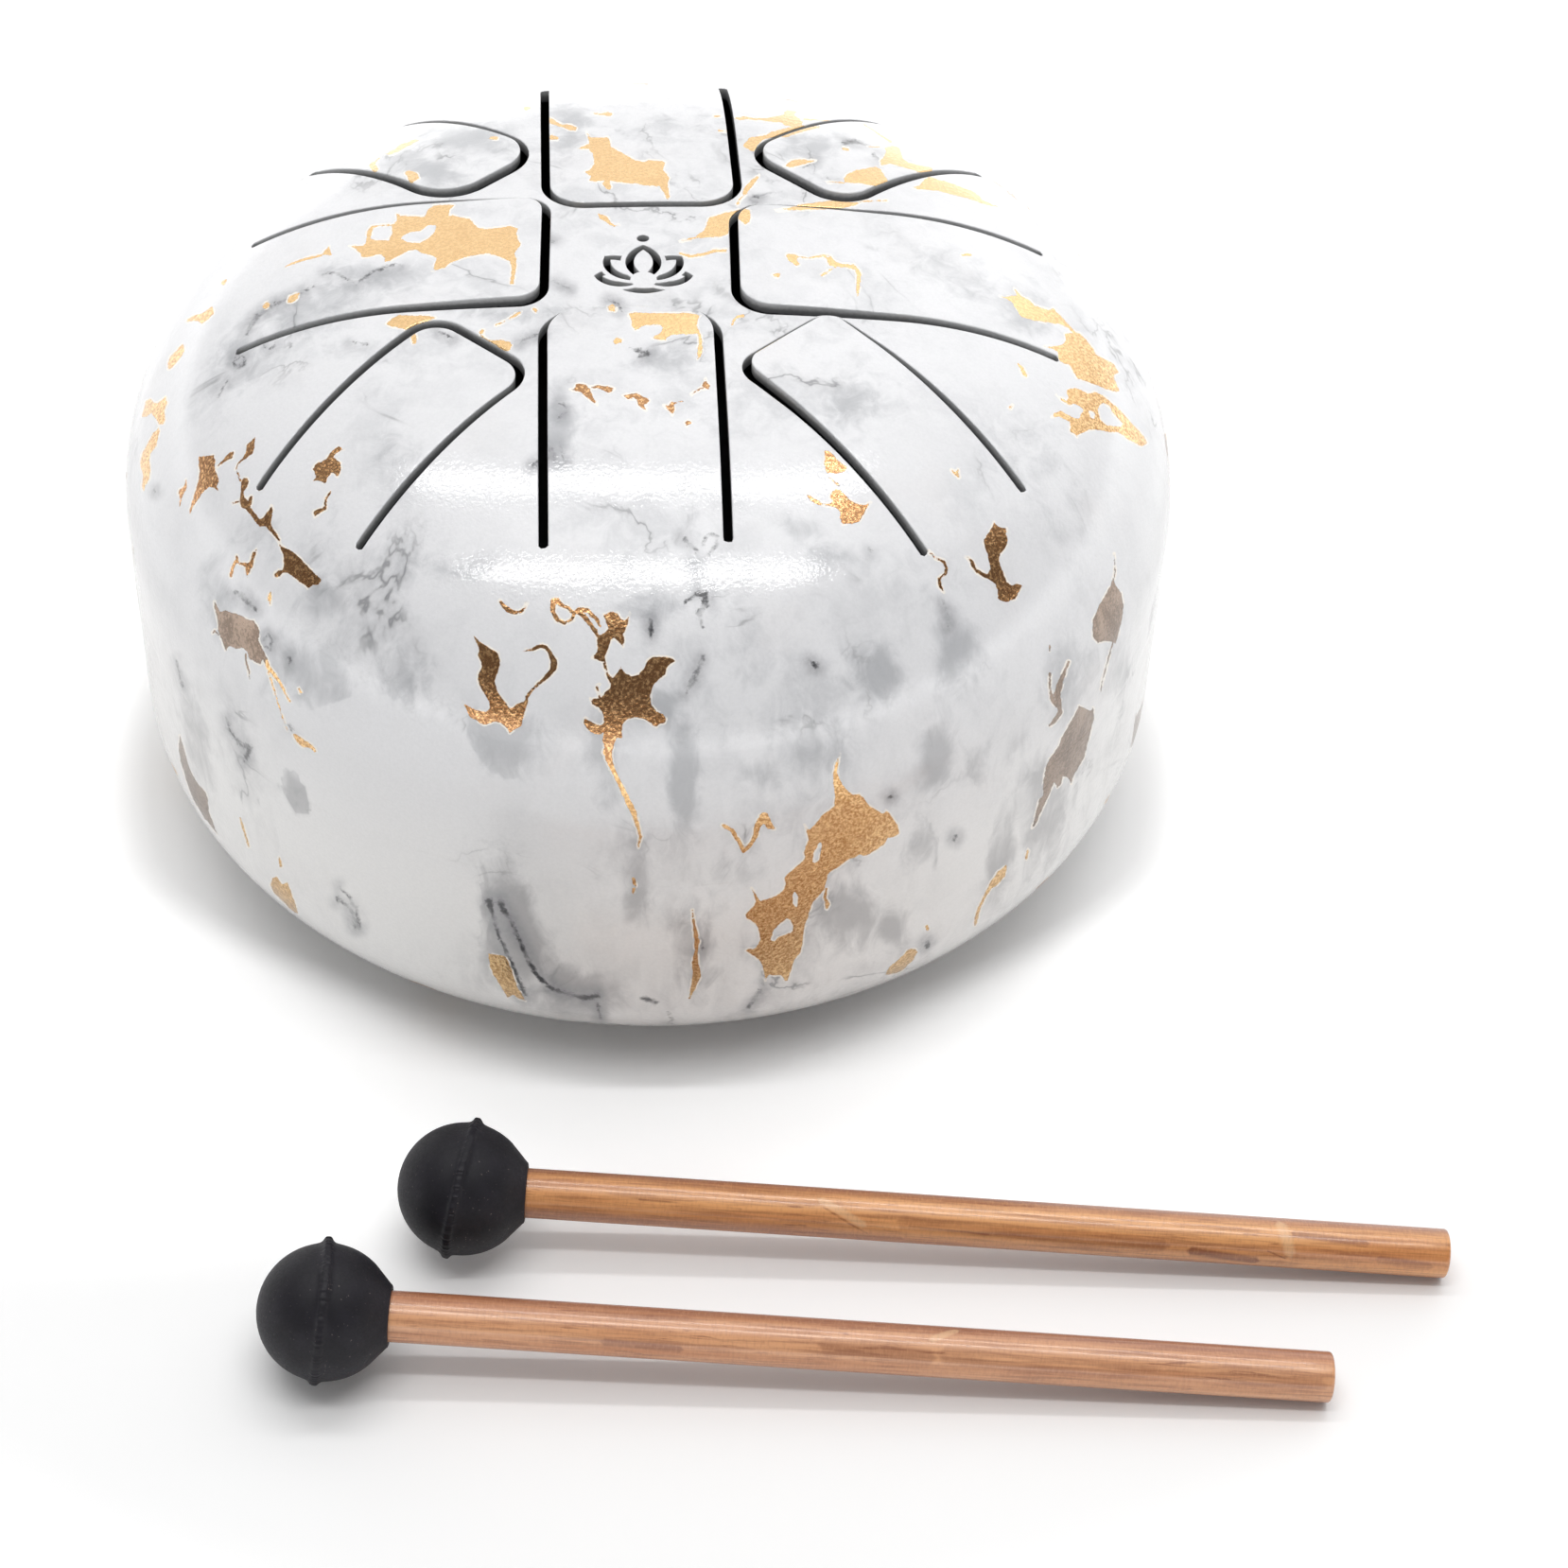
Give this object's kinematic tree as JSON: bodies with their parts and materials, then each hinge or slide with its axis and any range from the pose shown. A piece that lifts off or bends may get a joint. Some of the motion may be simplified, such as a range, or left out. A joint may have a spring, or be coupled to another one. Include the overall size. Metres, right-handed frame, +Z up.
{
  "type": "steel tongue drum",
  "caption": "Round steel tongue drum with a domed top cut into sounding tongues, a sound hole underneath, rubber feet and a loose pair of rubber-headed mallets.",
  "frame": {"origin": "centre of the sound hole, in the plane of the shell's flat underside; the drum's axis is Z and the feet reach 4.2 mm below it", "axes": "+Z up along the drum's axis, -Y towards the front where the mallets lie, +X to the right"},
  "size_m": [0.1865, 0.2099, 0.0942],
  "materials": {
    "marbled_lacquer": "glossy white marble print with grey veins and gold flakes, clear lacquered",
    "foot_rubber": "matt",
    "zinc_plated_steel": "bright zinc plated",
    "mallet_rubber": "matt, with a moulding ridge",
    "stained_wood_amber": "satin varnish, amber",
    "stained_wood_rose": "satin varnish, rosy brown"
  },
  "bodies": {
    "drum": {"upper_shell": "marbled_lacquer", "lower_shell": "marbled_lacquer", "foot_1": "foot_rubber", "foot_2": "foot_rubber", "foot_3": "foot_rubber", "foot_screw_1": "zinc_plated_steel", "foot_screw_2": "zinc_plated_steel", "foot_screw_3": "zinc_plated_steel", "foot_washer_1": "zinc_plated_steel", "foot_washer_2": "zinc_plated_steel", "foot_washer_3": "zinc_plated_steel", "foot_nut_1": "zinc_plated_steel", "foot_nut_2": "zinc_plated_steel", "foot_nut_3": "zinc_plated_steel"},
    "mallet_1": {"mallet_head_1": "mallet_rubber", "mallet_stick_1": "stained_wood_amber"},
    "mallet_2": {"mallet_head_2": "mallet_rubber", "mallet_stick_2": "stained_wood_rose"}
  },
  "joints": [
    {"name": "mallet_1_lift", "type": "slide", "parent": "drum", "child": "mallet_1", "axis": [0, 0, 1], "range_m": [0, 0.15]},
    {"name": "mallet_2_lift", "type": "slide", "parent": "drum", "child": "mallet_2", "axis": [0, 0, 1], "range_m": [0, 0.15]}
  ]
}
